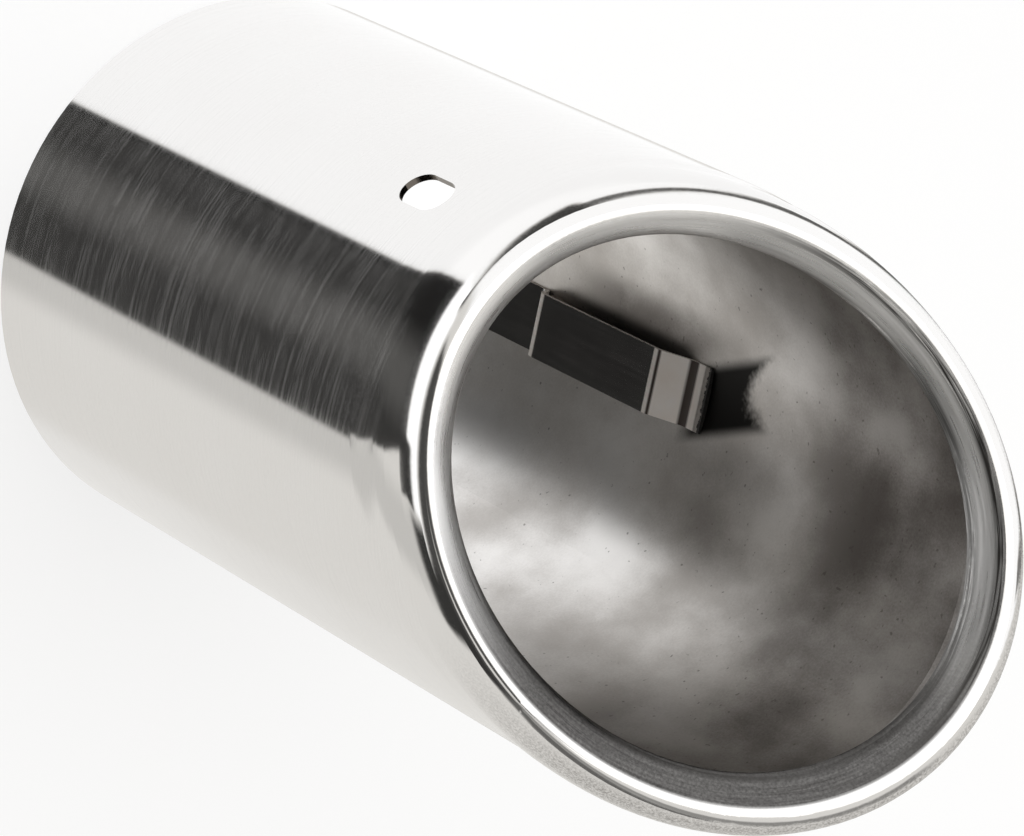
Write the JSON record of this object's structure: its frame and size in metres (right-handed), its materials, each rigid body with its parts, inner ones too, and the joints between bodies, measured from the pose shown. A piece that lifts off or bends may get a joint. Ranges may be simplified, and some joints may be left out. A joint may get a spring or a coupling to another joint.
{
  "type": "exhaust tip",
  "caption": "Slant-cut tubular steel exhaust tip with a rolled-in bright lip, a slotted hole near its short side and folded spring clips inside that grip the tail pipe.",
  "frame": {"origin": "centre of the open rear end, where the tail pipe enters, on the plane of the rear edge", "axes": "+Z along the tube's axis towards the slanted outlet, +X towards the long side of the slant"},
  "size_m": [0.0867, 0.084, 0.1534],
  "materials": {
    "sleeve_steel": "polished outside and on the lip, mill finish inside",
    "clip_steel": "rolled strip, left as sheared and bent"
  },
  "bodies": {
    "root": {"tip_sleeve": "sleeve_steel", "spring_clip_1": "clip_steel", "spring_clip_2": "clip_steel", "spring_clip_3": "clip_steel"}
  },
  "joints": []
}
